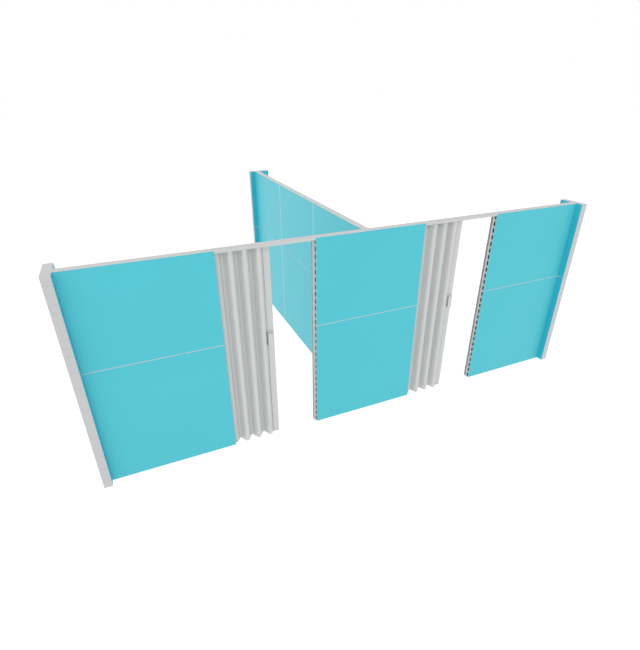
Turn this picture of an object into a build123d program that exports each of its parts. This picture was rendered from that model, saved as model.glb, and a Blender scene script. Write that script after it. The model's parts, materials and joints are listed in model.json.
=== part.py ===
"""Modular demountable partition wall, T-shaped in plan, with two accordion doors.

Millimetres, +Z up. The origin is on the floor at the centre of the wall's footprint, the main
wall runs along X, and the stem runs back along +Y from the middle panel.
"""

import os
from math import acos, cos, degrees, radians, sin

from build123d import *

os.makedirs("parts", exist_ok=True)

INCH = 25.4
UPRIGHT = (0, 0, 1)

# Wall modules
SLOT_PITCH = 3 * INCH  # the wall's heights are whole numbers of slots
LOWER_SLOTS = 16
UPPER_SLOTS = 12
WALL_THICKNESS = 3 * INCH
PANEL_WIDTH = 47.625 * INCH
DOORWAY_WIDTH = 36.5625 * INCH
WING_LENGTH = 12 * INCH
WING_FRONT = 3 * INCH  # how far an end wing stands out on its shorter side
STEM_OFFSET = 21.75 * INCH  # from the middle panel's left edge to the stem's centre
STEM_PANELS = 3

# Panel build-up
SKIN = 3.0
SKIN_MARGIN = 1.5  # from a skin's upright edge to its panel's edge
SEAM_GAP = 6.0  # between the lower and the upper skin
STILE = 40.0
CAP = 3.0
EDGE_COVER = 3.0
GROOVE_WIDTH = 2.5
GROOVE_DEPTH = 1.0

# Slots in every upright edge, and the clips and pins that join two frames
SLOT_LENGTH = 2 * INCH
SLOT_WIDTH = 18.0
SLOT_INSET = 14.5  # from the wall's face to the middle of a slot
SLOT_DEPTH = 20.0
CLIP_REACH = 18.0
CLIP_CLEARANCE = 0.3
CLIP_EVERY = 6  # a clip sits in every sixth slot
PIN_RADIUS = 6.0
PIN_REACH = 25.0
PIN_CLEARANCE = 0.1
PIN_SHARE = 0.25  # the pins stand at this share of the run from each of its ends

# Header and track
HEADER_HEIGHT = 1 * INCH
HEADER_LUG = 10.0  # how far each end hooks into a panel
TRACK_WIDTH = 32.0
TRACK_HEIGHT = 19.0
TRACK_WALL = 1.6
TRACK_SLOT = 7.2

# Door vanes, joined by a bead on one edge that turns in a hook on the next vane's edge
VANE_WIDTH = 5.4 * INCH  # from hinge line to hinge line
FULL_VANES = 5
REST_PITCH = 2.5 * INCH  # along the track, from one hinge line to the next, as the door stands
FOLD_STACKED = 72.0  # angle of a vane to the track when the door is stacked back
FOLD_SHUT = 9.0  # the same angle just past the point where the door is shut
VANE_THICKNESS = 4.0
NECK_THICKNESS = 1.8
NECK_LENGTH = 7.5
BEAD_RADIUS = 3.2
BEAD_CLEARANCE = 0.06
HOOK_WALL = 1.7
HOOK_MARGIN = 2.0  # degrees from the neck's furthest swing to each lip of the hook
DOOR_FLOOR_GAP = 6.0
DOOR_HEADER_GAP = 10.0

# Jambs and lead post
JAMB_DEPTH = 30.0
JAMB_HINGE = 1.45 * INCH  # from the panel's edge to the first hinge line
STRIKE_REACH = 1 * INCH
STRIKE_WALL = 2.0
POST_LENGTH = 2.85 * INCH  # from its hinge line to its leading edge
POST_THICKNESS = 24.0
POST_WALL = 2.0
MAGNET_THICKNESS = 3.0
MAGNET_WIDTH = 10.0
SCREW_RADIUS = 2.0
SCREW_HEAD_RADIUS = 3.5
SCREW_HEAD_CLEARANCE = 0.5
SCREW_HEAD = 2.4
SCREW_REACH = 18.0  # into the stile
SCREW_CLEARANCE = 0.1
SCREW_OFFSET = 9.0  # from the middle of the wall to each column of screws
SCREW_COUNT = 5
SCREW_END = 150.0

# Hangers and glides that carry the door in its track
HANGER_LENGTH = 26.0
HANGER_CHEEK = 3.5
HANGER_GRIP = 16.0
HANGER_TOP = 5.0
HANGER_PIN_RADIUS = 2.6
GLIDE_RADIUS = 12.0
GLIDE_THICKNESS = 5.0
GLIDE_CLEARANCE = 0.3
GLIDE_SPACING = 36.0
PLUG_DEPTH = 20.0

# Pull handles, one on each side of the lead post
HANDLE_HEIGHT = 180.0
HANDLE_WIDTH = 48.0
HANDLE_PLATE = 4.0
HANDLE_REACH = 36.0
HANDLE_LEVEL = 46.4 * INCH
HANDLE_CENTRE = 27.0  # from the post's hinge line
GRIP_WIDTH = 46.0
GRIP_THICKNESS = 8.0
GRIP_HEIGHT = 130.0
HANDLE_HOLE_RADIUS = 3.5
HANDLE_HOLE_SPACING = 150.0

# Places worked out from the sizes above
SEAM_HEIGHT = LOWER_SLOTS * SLOT_PITCH  # top of the lower module, bottom of the upper one
WALL_HEIGHT = SEAM_HEIGHT + UPPER_SLOTS * SLOT_PITCH
MAIN_LENGTH = 3 * PANEL_WIDTH + 2 * DOORWAY_WIDTH
STEM_LENGTH = STEM_PANELS * PANEL_WIDTH
FOOTPRINT_DEPTH = WING_FRONT + WALL_THICKNESS + STEM_LENGTH + WALL_THICKNESS
LEFT = -MAIN_LENGTH / 2
FRONT = -FOOTPRINT_DEPTH / 2 + WING_FRONT
MIDDLE = FRONT + WALL_THICKNESS / 2
BACK = FRONT + WALL_THICKNESS
PANEL_PITCH = PANEL_WIDTH + DOORWAY_WIDTH
STEM_X = LEFT + PANEL_PITCH + STEM_OFFSET
STEM_END = BACK + STEM_LENGTH
FRAME_DEPTH = WALL_THICKNESS - 2 * SKIN
FRAME_TOP = WALL_HEIGHT - CAP
WING_RUN = WING_LENGTH - 2 * EDGE_COVER
WING_JOINT = WING_FRONT + WALL_THICKNESS / 2 - EDGE_COVER
SLOT_ROW = WALL_THICKNESS / 2 - SLOT_INSET
CLIP_LENGTH = SLOT_LENGTH - 2 * CLIP_CLEARANCE
CLIP_WIDTH = SLOT_WIDTH - 2 * CLIP_CLEARANCE
HEADER_BOTTOM = WALL_HEIGHT - HEADER_HEIGHT
DOOR_TOP = HEADER_BOTTOM - DOOR_HEADER_GAP
REST_FOLD = degrees(acos(REST_PITCH / VANE_WIDTH))
HOOK_RADIUS = BEAD_RADIUS + BEAD_CLEARANCE + HOOK_WALL


def save(part, name):
    """Labels one finished sub-part and writes its STEP file."""
    part.label = name
    export_step(part, f"parts/{name}.step")


def heading(angle):
    """Unit direction on the floor at an angle from +X."""
    return (cos(radians(angle)), sin(radians(angle)), 0)


def run_plane(x, y, heading):
    """Floor plane at the start of a straight run: its x is along the run, its y across it."""
    return Plane(origin=(x, y, 0), x_dir=heading, z_dir=UPRIGHT)


def elevation(run, across=0.0):
    """Upright plane along a run, facing its -y side: x along the run, y up."""
    return Plane(run.location * Plane.XZ.offset(-across).location)


def section(run, along=0.0):
    """Upright plane square to a run and facing along it: x across the run, y up."""
    return Plane(run.location * Plane.YZ.offset(along).location)


def slot_heights():
    """Middle heights of all the slots in one row."""
    return [(step + 0.5) * SLOT_PITCH for step in range(LOWER_SLOTS + UPPER_SLOTS)]


def clip_heights():
    """Heights of the slots that hold a clip, from the second slot up."""
    return slot_heights()[1::CLIP_EVERY]


def screw_heights():
    """Heights of the screws that hold a jamb or a strike channel."""
    spacing = (DOOR_TOP - 2 * SCREW_END) / (SCREW_COUNT - 1)
    return [SCREW_END + step * spacing for step in range(SCREW_COUNT)]


def pin_places(length):
    """Where the pins that line up a run's two modules stand along it."""
    return (length * PIN_SHARE, 0), (length * (1 - PIN_SHARE), 0)


def cut_slots(plane, centres, heights, depth):
    """Cuts upright round-ended slots into the current part, at each centre and height."""
    with BuildSketch(plane) as slots:
        with Locations(*[(centre, z) for centre in centres for z in heights]):
            SlotOverall(SLOT_LENGTH, SLOT_WIDTH, rotation=90)
    extrude(slots.sketch, amount=depth, mode=Mode.SUBTRACT)


def cut_screw_holes(plane, places, depth, radius=SCREW_RADIUS + SCREW_CLEARANCE):
    """Cuts a column of screw holes at each place across the plane."""
    with BuildSketch(plane) as holes:
        with Locations(*[(across, z) for across in places for z in screw_heights()]):
            Circle(radius)
    extrude(holes.sketch, amount=depth, mode=Mode.SUBTRACT)


def make_frame(name, run, length, posts=(), jambs=()):
    """Slotted frame of a run: one ring for each module, and a post where another wall joins.

    An entry of posts is the post's middle along the run and the side (-1 or 1) it faces.
    An entry of jambs is the place along the run, the direction (-1 or 1) in which the screws
    go in, and their places across the run.
    """
    bands = ((0, SEAM_HEIGHT), (SEAM_HEIGHT, FRAME_TOP))
    rows = (-SLOT_ROW, SLOT_ROW)
    rings = []
    for low, high in bands:
        with BuildPart() as ring:
            with BuildSketch(elevation(run)):
                with Locations((length / 2, (low + high) / 2)):
                    Rectangle(length, high - low)
                    Rectangle(length - 2 * STILE, high - low - 2 * STILE, mode=Mode.SUBTRACT)
                for middle, side in posts:
                    with Locations((middle, (low + high) / 2)):
                        Rectangle(WALL_THICKNESS, high - low)
            extrude(amount=FRAME_DEPTH / 2, both=True)
            heights = [z for z in slot_heights() if low < z < high]
            cut_slots(section(run), rows, heights, SLOT_DEPTH)
            cut_slots(section(run, length), rows, heights, -SLOT_DEPTH)
            joint_heights = [z for z in clip_heights() if low < z < high]
            for middle, side in posts:
                face = elevation(run, side * FRAME_DEPTH / 2)
                joint_rows = (middle - SLOT_ROW, middle + SLOT_ROW)
                cut_slots(face, joint_rows, joint_heights, side * (SLOT_DEPTH - SKIN))
            for along, direction, places in jambs:
                cut_screw_holes(section(run, along), places, direction * SLOT_DEPTH)
            with BuildSketch(run.offset(SEAM_HEIGHT)):
                with Locations(*pin_places(length)):
                    Circle(PIN_RADIUS + PIN_CLEARANCE)
            extrude(amount=PIN_REACH + 1, both=True, mode=Mode.SUBTRACT)
        rings.append(ring.part)
    save(Compound(children=rings), f"{name}_frame")


def make_skins(name, run, length, posts=()):
    """Face sheets of a run, front and back, lower and upper, slotted where another wall joins."""
    gap = SEAM_GAP / 2
    bands = ((0, SEAM_HEIGHT - gap), (SEAM_HEIGHT + gap, FRAME_TOP))
    sheets = []
    for side in (-1, 1):
        for low, high in bands:
            with BuildPart() as sheet:
                with BuildSketch(elevation(run, side * FRAME_DEPTH / 2)):
                    with Locations((length / 2, (low + high) / 2)):
                        Rectangle(length - 2 * SKIN_MARGIN, high - low)
                extrude(amount=-side * SKIN)
                joint_heights = [z for z in clip_heights() if low < z < high]
                for middle, face in posts:
                    if face == side:
                        outside = elevation(run, side * WALL_THICKNESS / 2)
                        joint_rows = (middle - SLOT_ROW, middle + SLOT_ROW)
                        cut_slots(outside, joint_rows, joint_heights, side * SKIN)
            sheets.append(sheet.part)
    save(Compound(children=sheets), f"{name}_skins")


def make_core(run, length, posts=()):
    """Honeycomb core blocks that fill a run's frame between its bars."""
    edges = [STILE]
    for middle, side in posts:
        edges += [middle - WALL_THICKNESS / 2, middle + WALL_THICKNESS / 2]
    edges.append(length - STILE)
    blocks = []
    for low, high in ((0, SEAM_HEIGHT), (SEAM_HEIGHT, FRAME_TOP)):
        for start, end in zip(edges[::2], edges[1::2]):
            if end <= start:
                continue
            with BuildPart() as block:
                with BuildSketch(elevation(run)):
                    with Locations(((start + end) / 2, (low + high) / 2)):
                        Rectangle(end - start, high - low - 2 * STILE)
                extrude(amount=FRAME_DEPTH / 2, both=True)
            blocks.append(block.part)
    return blocks


def make_cap(run, length):
    """Flat cap strip on top of a run."""
    with BuildPart() as cap:
        with BuildSketch(run.offset(FRAME_TOP)):
            with Locations((length / 2, 0)):
                Rectangle(length, WALL_THICKNESS)
        extrude(amount=CAP)
    return cap.part


def make_edge_cover(run, along, direction):
    """Cover strip over the slots of a wing's open edge, grooved across once for each slot."""
    with BuildPart() as cover:
        with BuildSketch(section(run, along)):
            with Locations((0, FRAME_TOP / 2)):
                Rectangle(WALL_THICKNESS, FRAME_TOP)
        extrude(amount=direction * EDGE_COVER)
        with BuildSketch(section(run, along + direction * EDGE_COVER)):
            with Locations(*[(0, z + SLOT_PITCH / 2) for z in slot_heights()[:-1]]):
                Rectangle(WALL_THICKNESS, GROOVE_WIDTH)
        extrude(amount=-direction * GROOVE_DEPTH, mode=Mode.SUBTRACT)
    return cover.part


def make_clips(plane):
    """Flat clips that bridge two slotted faces, one side of the joint on each side of plane."""
    clips = []
    for across in (-SLOT_ROW, SLOT_ROW):
        for z in clip_heights():
            with BuildPart() as clip:
                with BuildSketch(plane):
                    with Locations((across, z)):
                        SlotOverall(CLIP_LENGTH, CLIP_WIDTH, rotation=90)
                extrude(amount=CLIP_REACH, both=True)
            clips.append(clip.part)
    return clips


def make_pins(run, length):
    """Round pins that line up the upper module of a run on its lower one."""
    pins = []
    for place in pin_places(length):
        with BuildPart() as pin:
            with BuildSketch(run.offset(SEAM_HEIGHT)):
                with Locations(place):
                    Circle(PIN_RADIUS)
            extrude(amount=PIN_REACH, both=True)
        pins.append(pin.part)
    return pins


def cut_mouth(at, near, far):
    """Opens the hook round a point of the current sketch, where the next neck swings.

    near and far are the ends of that swing, as angles from +X.
    """
    with Locations(at):
        Circle(BEAD_RADIUS + BEAD_CLEARANCE, mode=Mode.SUBTRACT)
    neck = degrees(NECK_THICKNESS / 2 / BEAD_RADIUS) + HOOK_MARGIN
    with BuildLine() as mouth:
        lips = CenterArc(at, 2 * HOOK_RADIUS, near - neck, far - near + 2 * neck)
        Line(lips @ 1, at)
        Line(at, lips @ 0)
    make_face(mouth.edges(), mode=Mode.SUBTRACT)


def door_plane(point, angle=0.0):
    """Plane at a door's lower edge, its origin over a floor point and its x at an angle."""
    return Plane(origin=(*point, DOOR_FLOOR_GAP), x_dir=heading(angle), z_dir=UPRIGHT)


def make_vane(name, point, angle, length, swing):
    """One stiff door vane, from the bead at a floor point to the hook at its other edge."""
    with BuildPart() as vane:
        with BuildSketch(door_plane(point, angle)):
            with Locations((length / 2, 0)):
                Rectangle(length - 2 * NECK_LENGTH, VANE_THICKNESS)
                Rectangle(length, NECK_THICKNESS)
            with Locations((length, 0)):
                Circle(HOOK_RADIUS)
            cut_mouth((length, 0), *swing)
            Circle(BEAD_RADIUS)
        extrude(amount=DOOR_TOP - DOOR_FLOOR_GAP)
    save(vane.part, name)


def make_fixed_jamb(name, edge):
    """Bar screwed to the panel's edge, with the hook that holds the door's first bead."""
    body = JAMB_HINGE - NECK_LENGTH
    with BuildPart() as jamb:
        with BuildSketch(door_plane((edge, MIDDLE))):
            with Locations((body / 2, 0)):
                Rectangle(body, JAMB_DEPTH)
            with Locations((JAMB_HINGE / 2, 0)):
                Rectangle(JAMB_HINGE, NECK_THICKNESS)
            with Locations((JAMB_HINGE, 0)):
                Circle(HOOK_RADIUS)
            cut_mouth((JAMB_HINGE, 0), FOLD_SHUT, FOLD_STACKED)
        extrude(amount=DOOR_TOP - DOOR_FLOOR_GAP)
        run = run_plane(edge, MIDDLE, heading(0))
        cut_screw_holes(section(run), (-SCREW_OFFSET, SCREW_OFFSET), body)
        seat = section(run, STRIKE_WALL)
        head_hole = SCREW_HEAD_RADIUS + SCREW_HEAD_CLEARANCE
        cut_screw_holes(seat, (-SCREW_OFFSET, SCREW_OFFSET), body, head_hole)
    save(jamb.part, name)


def make_strike(name, edge):
    """Open channel on the far panel's edge that the lead post closes into."""
    inside = JAMB_DEPTH - 2 * STRIKE_WALL
    with BuildPart() as strike:
        with BuildSketch(door_plane((edge, MIDDLE))):
            with Locations((-STRIKE_REACH / 2, 0)):
                Rectangle(STRIKE_REACH, JAMB_DEPTH)
            with Locations((-STRIKE_REACH / 2 - STRIKE_WALL, 0)):
                Rectangle(STRIKE_REACH, inside, mode=Mode.SUBTRACT)
        extrude(amount=DOOR_TOP - DOOR_FLOOR_GAP)
        run = run_plane(edge, MIDDLE, heading(0))
        cut_screw_holes(section(run), (-SCREW_OFFSET, SCREW_OFFSET), -STRIKE_REACH)
    save(strike.part, name)


def make_magnet(edge):
    """Magnetic strip along the floor of a strike channel."""
    with BuildPart() as magnet:
        with BuildSketch(door_plane((edge - STRIKE_WALL - MAGNET_THICKNESS / 2, MIDDLE))):
            Rectangle(MAGNET_THICKNESS, MAGNET_WIDTH)
        extrude(amount=DOOR_TOP - DOOR_FLOOR_GAP)
    return magnet.part


def make_screws(edge, direction):
    """Screws through a jamb into the panel's edge, their heads on the side of direction."""
    run = run_plane(edge, MIDDLE, heading(0))
    screws = []
    for across in (-SCREW_OFFSET, SCREW_OFFSET):
        for z in screw_heights():
            with BuildPart() as screw:
                with BuildSketch(section(run, direction * STRIKE_WALL)):
                    with Locations((across, z)):
                        Circle(SCREW_RADIUS)
                extrude(amount=-direction * (STRIKE_WALL + SCREW_REACH))
                with BuildSketch(section(run, direction * STRIKE_WALL)):
                    with Locations((across, z)):
                        Circle(SCREW_HEAD_RADIUS)
                extrude(amount=direction * SCREW_HEAD)
            screws.append(screw.part)
    return screws


def make_header(name, edge):
    """Bar across the top of a doorway, hooked by two lugs into the top slots at each end."""
    run = run_plane(edge, MIDDLE, heading(0))
    top_slot = slot_heights()[-1]
    with BuildPart() as header:
        with BuildSketch(section(run)):
            with Locations((0, HEADER_BOTTOM + HEADER_HEIGHT / 2)):
                Rectangle(WALL_THICKNESS, HEADER_HEIGHT)
        extrude(amount=DOORWAY_WIDTH)
        with BuildSketch(section(run, -HEADER_LUG)):
            with Locations((-SLOT_ROW, top_slot), (SLOT_ROW, top_slot)):
                SlotOverall(CLIP_LENGTH, CLIP_WIDTH, rotation=90)
            with Locations((0, HEADER_BOTTOM - SLOT_LENGTH / 2)):
                Rectangle(WALL_THICKNESS, SLOT_LENGTH, mode=Mode.SUBTRACT)
        extrude(amount=DOORWAY_WIDTH + 2 * HEADER_LUG)
        with BuildSketch(section(run)):
            with Locations((0, HEADER_BOTTOM + TRACK_HEIGHT / 2)):
                Rectangle(TRACK_WIDTH, TRACK_HEIGHT)
        extrude(amount=DOORWAY_WIDTH, mode=Mode.SUBTRACT)
    save(header.part, name)


def make_track(name, edge):
    """Slotted channel in the header's underside that the door's glides run in."""
    inner_height = TRACK_HEIGHT - 2 * TRACK_WALL
    with BuildPart() as track:
        with BuildSketch(section(run_plane(edge, MIDDLE, heading(0)))):
            with Locations((0, HEADER_BOTTOM + TRACK_HEIGHT / 2)):
                Rectangle(TRACK_WIDTH, TRACK_HEIGHT)
                Rectangle(TRACK_WIDTH - 2 * TRACK_WALL, inner_height, mode=Mode.SUBTRACT)
            with Locations((0, HEADER_BOTTOM + TRACK_WALL / 2)):
                Rectangle(TRACK_SLOT, TRACK_WALL, mode=Mode.SUBTRACT)
        extrude(amount=DOORWAY_WIDTH)
    save(track.part, name)


def add_glides(point, angle, places, base):
    """Adds pins with round glide heads to the current part, standing up from a height."""
    lips = HEADER_BOTTOM + TRACK_WALL + GLIDE_CLEARANCE
    floor = Plane(origin=(*point, 0), x_dir=heading(angle), z_dir=UPRIGHT)
    with BuildSketch(floor.offset(base)) as shanks:
        with Locations(*places):
            Circle(HANGER_PIN_RADIUS)
    extrude(shanks.sketch, amount=lips - base)
    with BuildSketch(floor.offset(lips)) as heads:
        with Locations(*places):
            Circle(GLIDE_RADIUS)
    extrude(heads.sketch, amount=GLIDE_THICKNESS)


def make_hanger(name, point, angle):
    """Saddle clipped over a vane's upper edge, with the pin and glide that carry it."""
    floor = Plane(origin=(*point, 0), x_dir=heading(angle), z_dir=UPRIGHT)
    with BuildPart() as hanger:
        with BuildSketch(floor.offset(DOOR_TOP - HANGER_GRIP)):
            Rectangle(HANGER_LENGTH, VANE_THICKNESS + 2 * HANGER_CHEEK)
        extrude(amount=HANGER_GRIP + HANGER_TOP)
        with BuildSketch(floor.offset(DOOR_TOP - HANGER_GRIP)):
            Rectangle(HANGER_LENGTH, VANE_THICKNESS)
        extrude(amount=HANGER_GRIP, mode=Mode.SUBTRACT)
        add_glides(point, angle, [(0, 0)], DOOR_TOP + HANGER_TOP)
    save(hanger.part, name)


def make_post(name, point):
    """Hollow lead post, with the bead that turns in the last vane's hook."""
    body = POST_LENGTH - NECK_LENGTH
    with BuildPart() as post:
        with BuildSketch(door_plane(point)):
            with Locations((NECK_LENGTH + body / 2, 0)):
                Rectangle(body, POST_THICKNESS)
                Rectangle(body - 2 * POST_WALL, POST_THICKNESS - 2 * POST_WALL, mode=Mode.SUBTRACT)
            with Locations((NECK_LENGTH / 2, 0)):
                Rectangle(NECK_LENGTH, NECK_THICKNESS)
            Circle(BEAD_RADIUS)
        extrude(amount=DOOR_TOP - DOOR_FLOOR_GAP)
    save(post.part, name)


def make_post_plug(name, point):
    """Plug in the top of the lead post, with the two glides that keep the post square."""
    body = POST_LENGTH - NECK_LENGTH
    centre = NECK_LENGTH + body / 2
    places = [(centre - GLIDE_SPACING / 2, 0), (centre + GLIDE_SPACING / 2, 0)]
    floor = Plane(origin=(*point, 0), x_dir=heading(0), z_dir=UPRIGHT)
    with BuildPart() as plug:
        with BuildSketch(floor.offset(DOOR_TOP - PLUG_DEPTH)):
            with Locations((centre, 0)):
                Rectangle(body - 2 * POST_WALL, POST_THICKNESS - 2 * POST_WALL)
        extrude(amount=PLUG_DEPTH)
        add_glides(point, 0, places, DOOR_TOP)
    save(plug.part, name)


def make_handles(name, point):
    """Pull handles on both faces of the lead post."""
    handles = []
    for side in (-1, 1):
        face = Plane(
            origin=(point[0] + HANDLE_CENTRE, point[1] + side * POST_THICKNESS / 2, HANDLE_LEVEL),
            x_dir=(-side, 0, 0),
            z_dir=(0, side, 0),
        )
        foot = (GRIP_HEIGHT - GRIP_THICKNESS) / 2
        with BuildPart() as handle:
            with BuildSketch(face):
                RectangleRounded(HANDLE_WIDTH, HANDLE_HEIGHT, HANDLE_PLATE)
                with GridLocations(0, HANDLE_HOLE_SPACING, 1, 2):
                    Circle(HANDLE_HOLE_RADIUS, mode=Mode.SUBTRACT)
            extrude(amount=HANDLE_PLATE)
            with BuildSketch(face):
                with Locations((0, -foot), (0, foot)):
                    Rectangle(GRIP_WIDTH, GRIP_THICKNESS)
            extrude(amount=HANDLE_REACH)
            with BuildSketch(face.offset(HANDLE_REACH - GRIP_THICKNESS)):
                Rectangle(GRIP_WIDTH, GRIP_HEIGHT)
            extrude(amount=GRIP_THICKNESS)
            outer = handle.faces().filter_by(Axis.Y).sort_by(Axis.Y)[0 if side < 0 else -1]
            fillet(outer.edges(), radius=GRIP_THICKNESS / 3)
        handles.append(handle.part)
    save(Compound(children=handles), name)


def make_door(number, edge):
    """One accordion door: its vanes as they stand, its lead post, hangers and handles."""
    prefix = f"door_{number}"
    point = (edge + JAMB_HINGE, MIDDLE)
    swing = (-2 * FOLD_STACKED, -2 * FOLD_SHUT)
    mirrored = (2 * FOLD_SHUT, 2 * FOLD_STACKED)
    last = FULL_VANES + 1
    for index in range(last + 1):
        back = index % 2 == 0
        angle = REST_FOLD if back else -REST_FOLD
        length = VANE_WIDTH / 2 if index in (0, last) else VANE_WIDTH
        opening = swing if back else mirrored
        if index == last:
            opening = (-FOLD_STACKED, -FOLD_SHUT)
        make_vane(f"{prefix}_vane_{index + 1}", point, angle, length, opening)
        along = heading(angle)
        if index in range(1, last, 2):
            middle = (point[0] + along[0] * length / 2, point[1] + along[1] * length / 2)
            make_hanger(f"{prefix}_hanger_{index + 1}", middle, angle)
        point = (point[0] + along[0] * length, point[1] + along[1] * length)
    make_post(f"{prefix}_lead_post", point)
    make_post_plug(f"{prefix}_post_glides", point)
    make_handles(f"{prefix}_handles", point)


# Straight runs: name, start plane, length, posts where another wall joins, jambs
across = heading(0)
away = heading(90)
screw_columns = (-SCREW_OFFSET, SCREW_OFFSET)
at_start = (0, 1, screw_columns)
at_end = (PANEL_WIDTH, -1, screw_columns)
wing_post = [WING_JOINT]
panels = [
    ("panel_1", run_plane(LEFT, MIDDLE, across), PANEL_WIDTH, (), (at_end,)),
    (
        "panel_2",
        run_plane(LEFT + PANEL_PITCH, MIDDLE, across),
        PANEL_WIDTH,
        ((STEM_OFFSET, 1),),
        (at_start, at_end),
    ),
    ("panel_3", run_plane(LEFT + 2 * PANEL_PITCH, MIDDLE, across), PANEL_WIDTH, (), (at_start,)),
]
stems = [
    (f"stem_{step + 1}", run_plane(STEM_X, BACK + step * PANEL_WIDTH, away), PANEL_WIDTH, (), ())
    for step in range(STEM_PANELS)
]
wing_start = FRONT - WING_FRONT
side_offset = MAIN_LENGTH / 2 + WALL_THICKNESS / 2
far_start = STEM_X - WALL_THICKNESS / 2 - WING_FRONT
far_plane = run_plane(far_start, STEM_END + WALL_THICKNESS / 2, across)
wings = [
    ("wing_left", run_plane(-side_offset, wing_start, away), WING_JOINT, -1),
    ("wing_right", run_plane(side_offset, wing_start, away), WING_JOINT, 1),
    ("wing_stem", far_plane, WING_JOINT, -1),
]

panel_cores = []
caps = []
clips = []
pins = []
for name, run, length, posts, jambs in panels + stems:
    make_frame(name, run, length, posts, jambs)
    make_skins(name, run, length, posts)
    panel_cores += make_core(run, length, posts)
    caps.append(make_cap(run, length))
    pins += make_pins(run, length)
for name, run, length, posts, jambs in stems:
    clips += make_clips(section(run))

wing_cores = []
covers = []
for name, outer, joint, side in wings:
    inner = Plane(outer.origin + outer.x_dir * EDGE_COVER, outer.x_dir, UPRIGHT)
    posts = ((joint, side),)
    make_frame(name, inner, WING_RUN, posts)
    make_skins(name, inner, WING_RUN, posts)
    wing_cores += make_core(inner, WING_RUN, posts)
    caps.append(make_cap(outer, WING_LENGTH))
    pins += make_pins(inner, WING_RUN)
    covers.append(make_edge_cover(inner, 0, -1))
    covers.append(make_edge_cover(inner, WING_RUN, 1))
clips += make_clips(section(panels[0][1]))
clips += make_clips(section(panels[-1][1], PANEL_WIDTH))
clips += make_clips(section(stems[-1][1], PANEL_WIDTH))

save(Compound(children=panel_cores), "panel_cores")
save(Compound(children=wing_cores), "wing_cores")
save(Compound(children=caps), "top_caps")
save(Compound(children=covers), "wing_edge_covers")
save(Compound(children=clips), "connector_clips")
save(Compound(children=pins), "stacking_pins")

# Doorways and doors
screws = []
magnets = []
for number in (1, 2):
    left_edge = LEFT + PANEL_WIDTH + (number - 1) * PANEL_PITCH
    right_edge = left_edge + DOORWAY_WIDTH
    make_header(f"header_{number}", left_edge)
    make_track(f"track_{number}", left_edge)
    make_fixed_jamb(f"fixed_jamb_{number}", left_edge)
    make_strike(f"strike_channel_{number}", right_edge)
    magnets.append(make_magnet(right_edge))
    screws += make_screws(left_edge, 1)
    screws += make_screws(right_edge, -1)
    make_door(number, left_edge)
save(Compound(children=screws), "jamb_screws")
save(Compound(children=magnets), "strike_magnets")
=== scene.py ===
"""Looks for the modular partition wall: skins, trims, slotted edges and pleated vinyl doors."""

import json
from math import atan2, radians, tan

import bmesh
import bpy
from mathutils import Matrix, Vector, noise


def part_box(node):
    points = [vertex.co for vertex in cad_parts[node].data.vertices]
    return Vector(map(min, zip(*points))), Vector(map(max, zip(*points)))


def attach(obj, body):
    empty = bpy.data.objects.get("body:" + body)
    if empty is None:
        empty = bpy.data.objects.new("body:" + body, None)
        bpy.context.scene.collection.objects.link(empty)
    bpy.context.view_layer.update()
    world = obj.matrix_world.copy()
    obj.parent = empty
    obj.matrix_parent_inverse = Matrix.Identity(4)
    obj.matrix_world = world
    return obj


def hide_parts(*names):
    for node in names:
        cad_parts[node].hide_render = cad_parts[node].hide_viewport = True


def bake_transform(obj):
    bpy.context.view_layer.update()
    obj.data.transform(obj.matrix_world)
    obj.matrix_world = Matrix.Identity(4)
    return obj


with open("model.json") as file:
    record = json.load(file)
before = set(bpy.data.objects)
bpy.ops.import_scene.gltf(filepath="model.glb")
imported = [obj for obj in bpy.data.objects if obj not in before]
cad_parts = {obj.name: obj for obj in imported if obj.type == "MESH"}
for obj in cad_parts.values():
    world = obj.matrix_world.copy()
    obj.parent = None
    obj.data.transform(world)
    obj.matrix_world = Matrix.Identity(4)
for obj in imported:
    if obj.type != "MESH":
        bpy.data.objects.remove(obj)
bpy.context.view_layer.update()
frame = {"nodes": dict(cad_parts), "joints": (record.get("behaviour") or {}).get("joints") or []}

# Pieces that repeat
PANELS = ["panel_1", "panel_2", "panel_3"]
STEMS = ["stem_1", "stem_2", "stem_3"]
WINGS = ["wing_left", "wing_right", "wing_stem"]
DOORS = (1, 2)
VANES = 7  # stiff vanes in each door
HUNG_VANES = (2, 4, 6)  # the vanes that hang from the track

# Door vinyl, in metres
VINYL_THICKNESS = 0.0072
VINYL_EDGE_ROUND = 0.0016
FOLD_RADIUS = 0.021
JAMB_FOLD_RADIUS = 0.009
POST_FOLD_RADIUS = 0.020
NECK = 0.0075  # from an end hinge line to the face of the jamb or post
HEADER_GAP = 0.0025  # between the vinyl and the header
HEM_HEIGHT = 0.034
HEM_WELD = 0.0022  # half the width of the weld along a hem
COLUMN_WIDTH = 0.012  # of the mesh's columns over a flat length
RIPPLE = 0.0011  # how far a sheet swells and sags

# Door vinyl, in counts and ratios
FOLD_STEPS = 10  # faces round a fold
DOOR_ROWS = 26  # faces up the height
RIPPLE_SCALE = (14, 14, 2.3)  # of the noise along x, y and z, so ripples run upright
FINE_RIPPLE = 2.7  # how much finer the second ripple is than the first
CALM_ENDS = 8  # ripples fade out over one part in this many of the height, at top and bottom
WELD_TONE = 0.55  # how far a weld's colour covers the vinyl's
WELD_PRESS = -3.0  # a weld's height beside the grain's
STREAK_LIFT = 1.2  # the streaks' height beside the grain's
STREAK_SWING = 0.10  # how much the streaks change the tone

# Rounded edges, in metres
POST_ROUND = 0.004
BAR_ROUND = 0.0012
EDGE_ROUND = 0.0007
MERGE_DISTANCE = 0.00001

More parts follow.
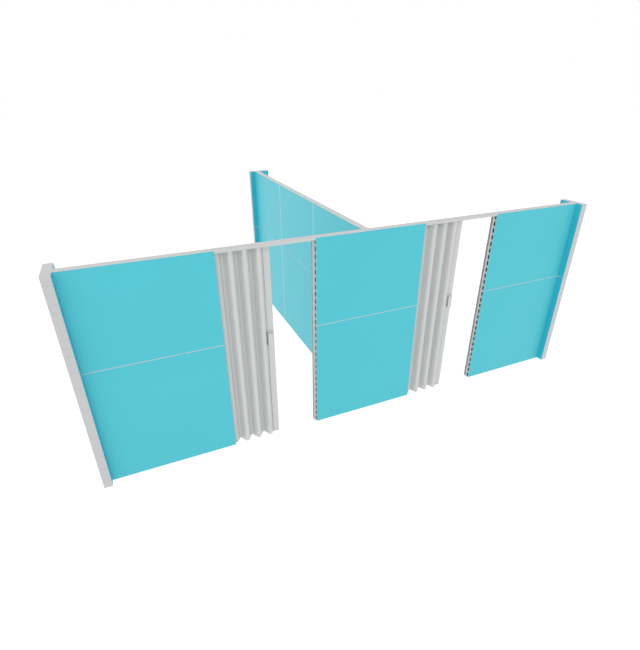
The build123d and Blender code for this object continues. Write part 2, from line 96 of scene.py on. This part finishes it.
# Slots and seams, in metres
SLOT_PITCH = 0.0762
SEAM_HEIGHT = 16 * SLOT_PITCH  # where the upper module stands on the lower one
SEAM_BAND = 0.0038  # half the width of the pale line along the seam
EDGE_BAND = 0.004  # the pale line down each edge of a stem panel
SLOT_MOUTH = 0.0006  # how deep the white lip of a slot reaches before the painted shade on the slot's faces begins
MARK_SHARE = 0.07  # the part of a slot's pitch that its mark on the cover strip takes
MARK_STRENGTH = 0.5

# Handling marks
SCUFF_HEIGHT = 0.32  # scuffs fade out over this height above the floor
SCUFF_RANGE = (0.56, 0.72)  # the noise at which a scuff starts and is whole
SCUFF_TONE = 0.62  # a scuff's tone beside clean plastic
GLOSS_SWING = 0.16  # how much the roughness changes

# Colours, linear
BLUE = (0.069, 0.500, 0.582)
WING_BLUE = (0.031, 0.490, 0.630)
TRIM = (0.540, 0.548, 0.552)
VINYL = (0.560, 0.566, 0.566)
VINYL_WELD = (0.42, 0.42, 0.42)
VINYL_SCUFF = (0.33, 0.33, 0.33)
HANDLE = (0.550, 0.556, 0.558)
COVER = (0.515, 0.522, 0.526)
NYLON = (0.580, 0.588, 0.590)
CLIP = (0.03, 0.03, 0.03)
MAGNET = (0.02, 0.02, 0.02)
ALUMINIUM = (0.720, 0.725, 0.735)
STEEL = (0.62, 0.62, 0.60)
PAPER = (0.48, 0.33, 0.17)
# Painted shade: near black put on the frame's faces within the slots, for the shade that falls
# there
SLOT_PAINTED_SHADE = (0.010, 0.010, 0.011)
BAND = (0.66, 0.72, 0.72)
MARK = (0.50, 0.50, 0.50)
FLOOR = (0.25, 0.25, 0.25)
FLOOR_GLOW = 3.6
FLOOR_REACH = 60.0

# Camera
CAMERA_PLACE = (-2.1765, -5.5356, 3.3584)
CAMERA_DIP = 27.70  # degrees below level
CAMERA_TURN = -23.87  # degrees about the upright, from straight along y
CAMERA_LENS = 24.98
CAMERA_SHIFT = (-0.0025, -0.0035)


# Shader building blocks

def new_group(name, inputs, outputs):
    """An empty shader group with named number sockets, each input with its usual value."""
    group = bpy.data.node_groups.new(name, "ShaderNodeTree")
    for label, value in inputs.items():
        socket = group.interface.new_socket(
            label, in_out="INPUT", socket_type="NodeSocketFloat"
        )
        socket.default_value = value
    for label in outputs:
        group.interface.new_socket(label, in_out="OUTPUT", socket_type="NodeSocketFloat")
    return group, group.nodes.new("NodeGroupInput"), group.nodes.new("NodeGroupOutput")


def add_node(tree, kind, settings=None, **links):
    """Adds a node. Settings are its own values.

    Links are its inputs, each a socket or a plain value. They go by name, with _ for a space, or
    by number as i0, i1 and so on.
    """
    node = tree.nodes.new(kind)
    for key, value in (settings or {}).items():
        setattr(node, key, value)
    for key, value in links.items():
        index = int(key[1:]) if key[0] == "i" and key[1:].isdigit() else key.replace("_", " ")
        if isinstance(value, bpy.types.NodeSocket):
            tree.links.new(value, node.inputs[index])
        else:
            node.inputs[index].default_value = value
    return node


def calc(tree, operation, *values):
    """A math node's result for the given sockets or numbers."""
    links = {f"i{index}": value for index, value in enumerate(values)}
    return add_node(tree, "ShaderNodeMath", {"operation": operation}, **links).outputs[0]


def remap(tree, value, low, high, start, end):
    """A value carried from one range over to another, and held at its ends."""
    node = add_node(
        tree, "ShaderNodeMapRange", Value=value, i1=low, i2=high, i3=start, i4=end
    )
    return node.outputs[0]


def object_place(tree):
    """Object coordinates."""
    return add_node(tree, "ShaderNodeTexCoord").outputs["Object"]


def split_place(tree, place=None):
    """Coordinates as three numbers, those of the object unless others are given."""
    return add_node(tree, "ShaderNodeSeparateXYZ", Vector=place or object_place(tree)).outputs


def stretched(tree, place, scale):
    """Coordinates stretched by a scale along each axis."""
    return add_node(tree, "ShaderNodeMapping", Vector=place, Scale=scale).outputs[0]


def band(tree, value, low, high):
    """1 where a value lies between two limits, 0 elsewhere."""
    above = calc(tree, "GREATER_THAN", value, low)
    below = calc(tree, "LESS_THAN", value, high)
    return calc(tree, "MULTIPLY", above, below)


def line_at(tree, height, level, half_width):
    """1 within half a line's width of a level, 0 elsewhere."""
    return band(tree, height, level - half_width, level + half_width)


def from_middle(tree, place, node, axis):
    """Distance from a node's middle along one axis, and half the node's size there."""
    low, high = (corner[axis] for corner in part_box(node))
    offset = calc(tree, "SUBTRACT", place[axis], (low + high) / 2)
    return calc(tree, "ABSOLUTE", offset), (high - low) / 2


def make_tone_group():
    """Slow variation of tone and gloss over a large surface, with faint scuffs near the floor."""
    group, source, sink = new_group(
        "handled_surface", {"Amount": 0.04, "Scuffs": 0.3}, ["Tone", "Scuff", "Gloss"]
    )
    place = object_place(group)
    slow = add_node(group, "ShaderNodeTexNoise", Vector=place, Scale=1.7, Detail=3.0)
    fine = add_node(group, "ShaderNodeTexNoise", Vector=place, Scale=21.0, Detail=4.0)
    swing = calc(group, "SUBTRACT", slow.outputs[0], 0.5)
    tone = calc(group, "MULTIPLY_ADD", swing, source.outputs["Amount"], 1.0)
    group.links.new(tone, sink.inputs["Tone"])
    height = split_place(group, place)["Z"]
    near_floor = remap(group, height, 0.0, SCUFF_HEIGHT, 1.0, 0.0)
    marks = add_node(
        group, "ShaderNodeTexNoise", Vector=stretched(group, place, (38.0, 38.0, 9.0)),
        Scale=1.0, Detail=6.0, Roughness=0.7,
    )
    patches = remap(group, marks.outputs[0], *SCUFF_RANGE, 0.0, 1.0)
    scuff = calc(group, "MULTIPLY", near_floor, patches)
    scuff = calc(group, "MULTIPLY", scuff, source.outputs["Scuffs"])
    group.links.new(scuff, sink.inputs["Scuff"])
    gloss = calc(group, "MULTIPLY_ADD", fine.outputs[0], GLOSS_SWING, -GLOSS_SWING / 2)
    group.links.new(gloss, sink.inputs["Gloss"])
    return group


def make_grain_group():
    """Height of a moulded or embossed grain: fine pebbles over a softer unevenness."""
    group, source, sink = new_group(
        "embossed_grain", {"Pebble": 900.0, "Swell": 60.0}, ["Height"]
    )
    place = object_place(group)
    pebbles = add_node(
        group, "ShaderNodeTexVoronoi", {"feature": "SMOOTH_F1"}, Vector=place,
        Scale=source.outputs["Pebble"], Smoothness=0.6,
    )
    swell = add_node(
        group, "ShaderNodeTexNoise", Vector=place, Scale=source.outputs["Swell"], Detail=2.0
    )
    height = calc(group, "MULTIPLY_ADD", swell.outputs[0], 0.8, pebbles.outputs["Distance"])
    group.links.new(height, sink.inputs["Height"])
    return group


def make_streak_group():
    """Upright streaks, as drawn or calendered sheet has along its length."""
    group, source, sink = new_group(
        "upright_streaks", {"Fineness": 240.0, "Run": 1.6}, ["Streak"]
    )
    scale = add_node(
        group, "ShaderNodeCombineXYZ", X=source.outputs["Fineness"],
        Y=source.outputs["Fineness"], Z=source.outputs["Run"],
    )
    place = add_node(
        group, "ShaderNodeVectorMath", {"operation": "MULTIPLY"}, i0=object_place(group),
        i1=scale.outputs[0],
    )
    streaks = add_node(
        group, "ShaderNodeTexNoise", Vector=place.outputs[0], Scale=1.0, Detail=3.0
    )
    group.links.new(streaks.outputs[0], sink.inputs["Streak"])
    return group


TONE = make_tone_group()
GRAIN = make_grain_group()
STREAKS = make_streak_group()


def new_material(name, roughness, metallic=0.0, specular=0.3):
    """An empty material: the material, its node tree and its Principled shader."""
    material = bpy.data.materials.new(name)
    material.use_nodes = True
    shader = material.node_tree.nodes["Principled BSDF"]
    shader.inputs["Roughness"].default_value = roughness
    shader.inputs["Metallic"].default_value = metallic
    shader.inputs["Specular IOR Level"].default_value = specular
    return material, material.node_tree, shader


def place_group(tree, group, **values):
    """A shader group's outputs, for its own values."""
    return add_node(tree, "ShaderNodeGroup", {"node_tree": group}, **values).outputs


def shade(tree, colour, tone):
    """A colour made lighter or darker by a tone around 1."""
    scaled = add_node(
        tree, "ShaderNodeVectorMath", {"operation": "SCALE"}, i0=colour, Scale=tone
    )
    return scaled.outputs[0]


def blend_colour(tree, factor, first, second):
    """A mix of two colours, each a socket or a plain colour."""
    mix = tree.nodes.new("ShaderNodeMix")
    mix.data_type = "RGBA"
    tree.links.new(factor, mix.inputs["Factor"])
    for socket, colour in ((mix.inputs[6], first), (mix.inputs[7], second)):
        if isinstance(colour, bpy.types.NodeSocket):
            tree.links.new(colour, socket)
        else:
            socket.default_value = (*colour, 1.0)
    return mix.outputs[2]


def bump(tree, shader, height, strength, distance):
    """Feeds a height to the shader's normal."""
    node = add_node(
        tree, "ShaderNodeBump", Height=height, Strength=strength, Distance=distance
    )
    tree.links.new(node.outputs[0], shader.inputs["Normal"])


def vary_roughness(tree, shader, variation):
    """Lets the shader's roughness vary a little around its own value."""
    rough = shader.inputs["Roughness"]
    tree.links.new(calc(tree, "ADD", variation, rough.default_value), rough)


# Materials

def moulded(
    name, colour, roughness, pebble=900.0, swell=60.0, relief=0.25, scuffs=0.3, lining=None
):
    """Moulded or laminated plastic with an embossed grain and light handling marks.

    A lining draws pale or dark lines: it takes the tree and gives where they run and their colour.
    """
    material, tree, shader = new_material(name, roughness)
    tone = place_group(tree, TONE, Amount=0.05, Scuffs=scuffs)
    base = shade(tree, colour, tone["Tone"])
    if lining:
        lines, line_colour = lining(tree)
        base = blend_colour(tree, lines, base, line_colour)
    scuffed = [part * SCUFF_TONE for part in colour]
    worn = blend_colour(tree, tone["Scuff"], base, scuffed)
    tree.links.new(worn, shader.inputs["Base Color"])
    vary_roughness(tree, shader, tone["Gloss"])
    grain = place_group(tree, GRAIN, Pebble=pebble, Swell=swell)
    bump(tree, shader, grain["Height"], strength=relief, distance=0.0006)
    return material


def edge_band(node, width):
    """Pale band down the upright edges of a skin and along the seam of its two modules."""
    low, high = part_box(node)
    along = 0 if high.x - low.x > high.y - low.y else 1

    def lining(tree):
        place = split_place(tree)
        offset, half = from_middle(tree, place, node, along)
        upright = calc(tree, "GREATER_THAN", offset, half - width)
        seam = line_at(tree, place["Z"], SEAM_HEIGHT, SEAM_BAND)
        return calc(tree, "MAXIMUM", upright, seam), BAND

    return lining


def slot_marks(tree):
    """Faint level lines, one at each slot's end, as a slotted edge shows through its cover."""
    height = split_place(tree)["Z"]
    step = calc(tree, "FRACT", calc(tree, "DIVIDE", height, SLOT_PITCH))
    lines = band(tree, step, 0.0, MARK_SHARE)
    return calc(tree, "MULTIPLY", lines, MARK_STRENGTH), MARK


def make_frame_material(node):
    """White frame plastic of one run, white where it shows, with painted shade on its faces within
    the slots.
    """
    material, tree, shader = new_material(f"{node}_plastic", roughness=0.5)
    tone = place_group(tree, TONE, Amount=0.04, Scuffs=0.3)
    base = shade(tree, TRIM, tone["Tone"])
    place = split_place(tree)
    # Mask of the faces that lie within the slots, where shade is painted
    slot_shade_mask = calc(tree, "GREATER_THAN", place["Z"], SLOT_MOUTH)
    for axis in (0, 1):
        offset, half = from_middle(tree, place, node, axis)
        within = calc(tree, "LESS_THAN", offset, half - SLOT_MOUTH)
        slot_shade_mask = calc(tree, "MULTIPLY", slot_shade_mask, within)
    # Painted shade: these faces take a near-black colour for the shade in the slots, not the
    # plastic's own colour
    slotted = blend_colour(tree, slot_shade_mask, base, SLOT_PAINTED_SHADE)
    tree.links.new(slotted, shader.inputs["Base Color"])
    vary_roughness(tree, shader, tone["Gloss"])
    grain = place_group(tree, GRAIN, Pebble=1100.0, Swell=80.0)
    bump(tree, shader, grain["Height"], strength=0.2, distance=0.0005)
    return material


def make_vinyl_material(bottom, top):
    """Door vinyl: a calendered sheet with fine grain, upright streaks and welded hems."""
    material, tree, shader = new_material("door_vinyl_sheet", roughness=0.46)
    shader.inputs["Subsurface Weight"].default_value = 0.2
    shader.inputs["Subsurface Scale"].default_value = 0.02
    shader.inputs["Subsurface Radius"].default_value = (1.0, 1.0, 1.0)
    tone = place_group(tree, TONE, Amount=0.05, Scuffs=0.45)
    streak = place_group(tree, STREAKS, Fineness=150.0, Run=1.1)["Streak"]
    streak_tone = calc(tree, "MULTIPLY_ADD", streak, STREAK_SWING, 1 - STREAK_SWING / 2)
    base = shade(tree, VINYL, calc(tree, "MULTIPLY", tone["Tone"], streak_tone))
    height = split_place(tree)["Z"]
    low_weld = line_at(tree, height, bottom + HEM_HEIGHT, HEM_WELD)
    high_weld = line_at(tree, height, top - HEM_HEIGHT, HEM_WELD)
    weld = calc(tree, "ADD", low_weld, high_weld)
    weld_shows = calc(tree, "MULTIPLY", weld, WELD_TONE)
    welded = blend_colour(tree, weld_shows, base, VINYL_WELD)
    worn = blend_colour(tree, tone["Scuff"], welded, VINYL_SCUFF)
    tree.links.new(worn, shader.inputs["Base Color"])
    vary_roughness(tree, shader, tone["Gloss"])
    grain = place_group(tree, GRAIN, Pebble=700.0, Swell=45.0)
    pressed = calc(tree, "MULTIPLY_ADD", weld, WELD_PRESS, grain["Height"])
    drawn = calc(tree, "MULTIPLY_ADD", streak, STREAK_LIFT, pressed)
    bump(tree, shader, drawn, strength=0.3, distance=0.0006)
    return material


def make_brushed_metal(name, colour, scale):
    """Brushed metal, its marks drawn out along the axis with the smallest scale."""
    material, tree, shader = new_material(name, roughness=0.36, metallic=0.9)
    marks = add_node(
        tree, "ShaderNodeTexNoise", Vector=stretched(tree, object_place(tree), scale),
        Scale=1.0, Detail=4.0,
    ).outputs[0]
    tone = calc(tree, "MULTIPLY_ADD", marks, 0.2, 0.9)
    tree.links.new(shade(tree, colour, tone), shader.inputs["Base Color"])
    rough = calc(tree, "MULTIPLY_ADD", marks, 0.3, 0.2)
    tree.links.new(rough, shader.inputs["Roughness"])
    bump(tree, shader, marks, strength=0.15, distance=0.0003)
    return material


def make_paper_material():
    """Fibrous brown paper of the cores."""
    material, tree, shader = new_material("paper_core", roughness=0.85)
    fibres = add_node(
        tree, "ShaderNodeTexNoise", Vector=object_place(tree), Scale=300.0, Detail=5.0
    ).outputs[0]
    tone = calc(tree, "MULTIPLY_ADD", fibres, 0.3, 0.85)
    tree.links.new(shade(tree, PAPER, tone), shader.inputs["Base Color"])
    bump(tree, shader, fibres, strength=0.3, distance=0.0005)
    return material


# Meshes

def new_piece(name, bm, material):
    """An object for a finished bmesh, with its material."""
    mesh = bpy.data.meshes.new(name)
    bm.to_mesh(mesh)
    bm.free()
    mesh.materials.append(material)
    piece = bpy.data.objects.new(name, mesh)
    bpy.context.scene.collection.objects.link(piece)
    return piece


def extrude_column(bm, edges, reach):
    """Extrudes a column of edges sideways in equal steps and returns the last column."""
    count = max(1, round(reach.length / COLUMN_WIDTH))
    for _ in range(count):
        grown = bmesh.ops.extrude_edge_only(bm, edges=edges)["geom"]
        moved = [item for item in grown if isinstance(item, bmesh.types.BMVert)]
        bmesh.ops.translate(bm, verts=moved, vec=reach / count)
        edges = [item for item in grown if isinstance(item, bmesh.types.BMEdge)]
        edges = [edge for edge in edges if all(vert in moved for vert in edge.verts)]
    return edges


def ripple(bm, bottom, top):
    """Lets a sheet swell and sag a little, less near its hems, as hung vinyl does."""
    bm.normal_update()
    shifts = []
    for vert in bm.verts:
        place = Vector([part * scale for part, scale in zip(vert.co, RIPPLE_SCALE)])
        swell = noise.noise(place) + 0.5 * noise.noise(place * FINE_RIPPLE)
        from_hem = min(vert.co.z - bottom, top - vert.co.z)
        freedom = min(1, CALM_ENDS * from_hem / (top - bottom))
        shifts.append((vert, vert.normal * swell * RIPPLE * freedom))
    for vert, shift in shifts:
        vert.co += shift


def break_edges(piece, name, width, past):
    """Takes the sharpness off edges that turn past an angle in degrees."""
    soften = piece.modifiers.new(name, "BEVEL")
    soften.width = width
    soften.segments = 2
    soften.limit_method = "ANGLE"
    soften.angle_limit = radians(past)


def settle(piece):
    """Makes a piece's modifiers part of its mesh."""
    graph = bpy.context.evaluated_depsgraph_get()
    mesh = bpy.data.meshes.new_from_object(piece.evaluated_get(graph))
    piece.modifiers.clear()
    piece.data = mesh


def smooth_faces(piece, past):
    """Smooth shading, with sharp edges where faces turn past an angle in degrees."""
    bm = bmesh.new()
    bm.from_mesh(piece.data)
    for face in bm.faces:
        face.smooth = True
    for edge in bm.edges:
        edge.smooth = len(edge.link_faces) == 2 and edge.calc_face_angle(0) < radians(past)
    bm.to_mesh(piece.data)
    bm.free()


def sheet_of_fold(name, start, corner, end, radius, bottom, top, material):
    """Vinyl over one hinge line: flat from start, rounded at the corner, flat to the end."""
    arriving = (corner - start).normalized()
    leaving = (end - corner).normalized()
    turn = atan2(arriving.x * leaving.y - arriving.y * leaving.x, arriving.dot(leaving))
    setback = radius * tan(abs(turn) / 2)
    side = 1 if turn > 0 else -1
    bend = corner - arriving * setback
    centre = bend + Vector((-arriving.y, arriving.x, 0)) * radius * side
    bm = bmesh.new()
    column = [
        bm.verts.new((start.x, start.y, bottom + (top - bottom) * row / DOOR_ROWS))
        for row in range(DOOR_ROWS + 1)
    ]
    edges = [bm.edges.new(pair) for pair in zip(column, column[1:])]
    edges = extrude_column(bm, edges, bend - start)
    turned = bmesh.ops.spin(
        bm, geom=edges, cent=centre, axis=(0, 0, 1), angle=turn, steps=FOLD_STEPS
    )
    edges = [item for item in turned["geom_last"] if isinstance(item, bmesh.types.BMEdge)]
    extrude_column(bm, edges, end - corner - leaving * setback)
    bmesh.ops.remove_doubles(bm, verts=bm.verts, dist=MERGE_DISTANCE)
    bmesh.ops.recalc_face_normals(bm, faces=bm.faces)
    ripple(bm, bottom, top)
    piece = new_piece(name, bm, material)
    wall = piece.modifiers.new("thickness", "SOLIDIFY")
    wall.thickness = VINYL_THICKNESS
    wall.offset = 0.0
    break_edges(piece, "soft edge", VINYL_EDGE_ROUND, past=60)
    settle(piece)
    smooth_faces(piece, past=50)
    return piece


def edges_rising(bm, least, most):
    """Edges whose ends differ in height by an amount within a range."""
    return [
        edge for edge in bm.edges
        if least <= abs(edge.verts[0].co.z - edge.verts[1].co.z) <= most
    ]


def rounded_bar(name, low, high, upright_round, material):
    """Upright bar with rounded corners and slightly rounded ends."""
    height = high.z - low.z
    bm = bmesh.new()
    bmesh.ops.create_cube(bm, size=1.0)
    bmesh.ops.scale(bm, vec=high - low, verts=bm.verts)
    bmesh.ops.translate(bm, vec=(low + high) / 2, verts=bm.verts)
    bmesh.ops.bevel(
        bm, geom=edges_rising(bm, height / 2, 2 * height), offset=upright_round, segments=5,
        profile=0.5, affect="EDGES", material=-1,
    )
    bmesh.ops.bevel(
        bm, geom=edges_rising(bm, 0, MERGE_DISTANCE), offset=BAR_ROUND, segments=2,
        profile=0.5, affect="EDGES", material=-1,
    )
    bmesh.ops.recalc_face_normals(bm, faces=bm.faces)
    piece = new_piece(name, bm, material)
    smooth_faces(piece, past=40)
    return piece


def finish_node(node, material, rounding=EDGE_ROUND):
    """Gives a machined or moulded node its material and breaks its edges."""
    piece = frame["nodes"][node]
    piece.data.materials.clear()
    piece.data.materials.append(material)
    for polygon in piece.data.polygons:
        polygon.material_index = 0
    if rounding:
        weld = piece.modifiers.new("weld", "WELD")
        weld.merge_threshold = MERGE_DISTANCE
        break_edges(piece, "broken edges", rounding, past=35)


# The doors

def vinyl_heights(number):
    """Where a door's vinyl starts and ends, above the floor."""
    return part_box(f"door_{number}_vane_2")[0].z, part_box(f"header_{number}")[0].z - HEADER_GAP


def hinge_points(number):
    """Floor points of a door's hinge lines, from the fixed jamb to the lead post."""
    names = [f"door_{number}_fold"]
    names += [f"door_{number}_hinge_{step}" for step in range(2, VANES + 2)]
    joints = {joint["name"]: joint for joint in frame["joints"]}
    return [Vector((*joints[name]["pos_m"][:2], 0)) for name in names]


def dress_bar(name, node, body, low, high, upright_round, material):
    """A rounded bar that stands for a jamb or post and moves with its body."""
    bar = rounded_bar(name, Vector(low), Vector(high), upright_round, material)
    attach(bar, body)
    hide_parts(node)


def dress_door(number, vinyl, trim):
    """Vinyl folds, jamb and lead post of one door, over its stiff vanes."""
    points = hinge_points(number)
    bottom, top = vinyl_heights(number)
    jamb_face = Vector((points[0].x - NECK, points[0].y, 0))
    post_face = Vector((points[-1].x + NECK, points[-1].y, 0))
    middles = [(here + there) / 2 for here, there in zip(points, points[1:])]
    stops = [jamb_face, *middles, post_face]
    radii = [JAMB_FOLD_RADIUS] + [FOLD_RADIUS] * (VANES - 1) + [POST_FOLD_RADIUS]
    for step, corner in enumerate(points):
        start, end = stops[step], stops[step + 1]
        piece = sheet_of_fold(
            f"door_{number}_vinyl_fold_{step + 1}", start, corner, end, radii[step],
            bottom, top, vinyl,
        )
        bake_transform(piece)
        if step < VANES:
            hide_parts(f"door_{number}_vane_{step + 1}")
    jamb_low, jamb_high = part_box(f"fixed_jamb_{number}")
    dress_bar(
        f"door_{number}_jamb_bar", f"fixed_jamb_{number}", "wall",
        (jamb_low.x, jamb_low.y, bottom), (jamb_face.x, jamb_high.y, top), BAR_ROUND, trim,
    )
    post_low, post_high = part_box(f"door_{number}_lead_post")
    dress_bar(
        f"door_{number}_post_bar", f"door_{number}_lead_post", f"door_{number}_post",
        (post_face.x, post_low.y, bottom), (post_high.x, post_high.y, top), POST_ROUND, vinyl,
    )


# The wall and its fittings

def dress_wall(trim):
    """Frames, skins, cores, caps and covers of the panels and wings, and what joins them."""
    for run in PANELS + STEMS + WINGS:
        laminate = moulded(
            f"{run}_laminate", WING_BLUE if run in WINGS else BLUE, roughness=0.42,
            pebble=620.0, swell=34.0, relief=0.16, scuffs=0.3 if run in WINGS else 0.25,
            lining=edge_band(f"{run}_skins", EDGE_BAND if run in STEMS else 0.0),
        )
        finish_node(f"{run}_skins", laminate)
        finish_node(f"{run}_frame", make_frame_material(f"{run}_frame"), rounding=0.0005)
    cover = moulded(
        "edge_cover_plastic", COVER, roughness=0.5, pebble=1100.0, relief=0.2,
        lining=slot_marks,
    )
    clip = moulded("clip_plastic", CLIP, roughness=0.5)
    paper = make_paper_material()
    finish_node("top_caps", trim, rounding=0.0006)
    finish_node("wing_edge_covers", cover, rounding=0.0006)
    finish_node("panel_cores", paper, rounding=0)
    finish_node("wing_cores", paper, rounding=0)
    finish_node("connector_clips", clip, rounding=0)


def dress_fittings(trim):
    """Headers, tracks, strikes, handles, glides and hangers, and the pins, screws and magnets."""
    handle = moulded(
        "handle_plastic", HANDLE, roughness=0.34, pebble=1500.0, swell=120.0, relief=0.12
    )
    nylon = moulded("glide_nylon", NYLON, roughness=0.4, pebble=1500.0, relief=0.1)
    magnet = moulded("magnet_rubber", MAGNET, roughness=0.7)
    metal = make_brushed_metal("brushed_aluminium", ALUMINIUM, scale=(3.0, 900.0, 900.0))
    steel = make_brushed_metal("zinc_steel", STEEL, scale=(400.0, 400.0, 400.0))
    finish_node("stacking_pins", steel, rounding=0)
    finish_node("jamb_screws", steel, rounding=0.0004)
    finish_node("strike_magnets", magnet, rounding=0.0004)
    for number in DOORS:
        finish_node(f"header_{number}", trim, rounding=0.001)
        finish_node(f"track_{number}", metal, rounding=0.0003)
        finish_node(f"strike_channel_{number}", trim, rounding=0.0005)
        finish_node(f"door_{number}_handles", handle, rounding=0.0012)
        finish_node(f"door_{number}_post_glides", nylon, rounding=0.0005)
        for vane in HUNG_VANES:
            finish_node(f"door_{number}_hanger_{vane}", nylon, rounding=0.0005)


# Floor, light and camera

def make_floor():
    """Plain pale floor."""
    bm = bmesh.new()
    bmesh.ops.create_grid(bm, x_segments=1, y_segments=1, size=FLOOR_REACH)
    material, _, shader = new_material("pale_floor", roughness=0.7, specular=0.2)
    shader.inputs["Base Color"].default_value = (*FLOOR, 1.0)
    shader.inputs["Emission Color"].default_value = (*FLOOR, 1.0)
    shader.inputs["Emission Strength"].default_value = FLOOR_GLOW
    new_piece("floor", bm, material)


def area_light(name, place, target, size, energy):
    """Soft square light aimed at a point."""
    light = bpy.data.lights.new(name, "AREA")
    light.shape = "SQUARE"
    light.size = size
    light.energy = energy
    lamp = bpy.data.objects.new(name, light)
    bpy.context.scene.collection.objects.link(lamp)
    lamp.location = place
    lamp.rotation_euler = (Vector(target) - Vector(place)).to_track_quat("-Z", "Y").to_euler()


def light_studio():
    """Even white surroundings, a large soft light from the left and a weaker one in front."""
    world = bpy.data.worlds.new("studio")
    bpy.context.scene.world = world
    world.use_nodes = True
    background = world.node_tree.nodes["Background"]
    background.inputs["Color"].default_value = (1.0, 1.0, 1.0, 1.0)
    background.inputs["Strength"].default_value = 1.0
    area_light("key", (-8.0, -3.0, 7.5), target=(0.0, 0.0, 0.8), size=5.0, energy=70.0)
    area_light("fill", (1.0, -9.0, 5.0), target=(0.5, -1.5, 1.0), size=6.0, energy=25.0)
    bpy.context.scene.view_settings.view_transform = "Standard"


def place_camera():
    """Camera above and to the left of the wall's middle."""
    camera = bpy.data.cameras.new("camera")
    camera.sensor_width = 36.0
    camera.lens = CAMERA_LENS
    camera.shift_x, camera.shift_y = CAMERA_SHIFT
    camera.clip_end = 200.0
    stand = bpy.data.objects.new("camera", camera)
    bpy.context.scene.collection.objects.link(stand)
    stand.location = CAMERA_PLACE
    stand.rotation_euler = (radians(90 - CAMERA_DIP), 0.0, radians(CAMERA_TURN))
    bpy.context.scene.camera = stand


WHITE_TRIM = moulded(
    "white_trim_plastic", TRIM, roughness=0.5, pebble=1100.0, swell=80.0, relief=0.2
)
DOOR_VINYL = make_vinyl_material(*vinyl_heights(1))
dress_wall(WHITE_TRIM)
dress_fittings(WHITE_TRIM)
for number in DOORS:
    dress_door(number, DOOR_VINYL, WHITE_TRIM)
make_floor()
light_studio()
place_camera()
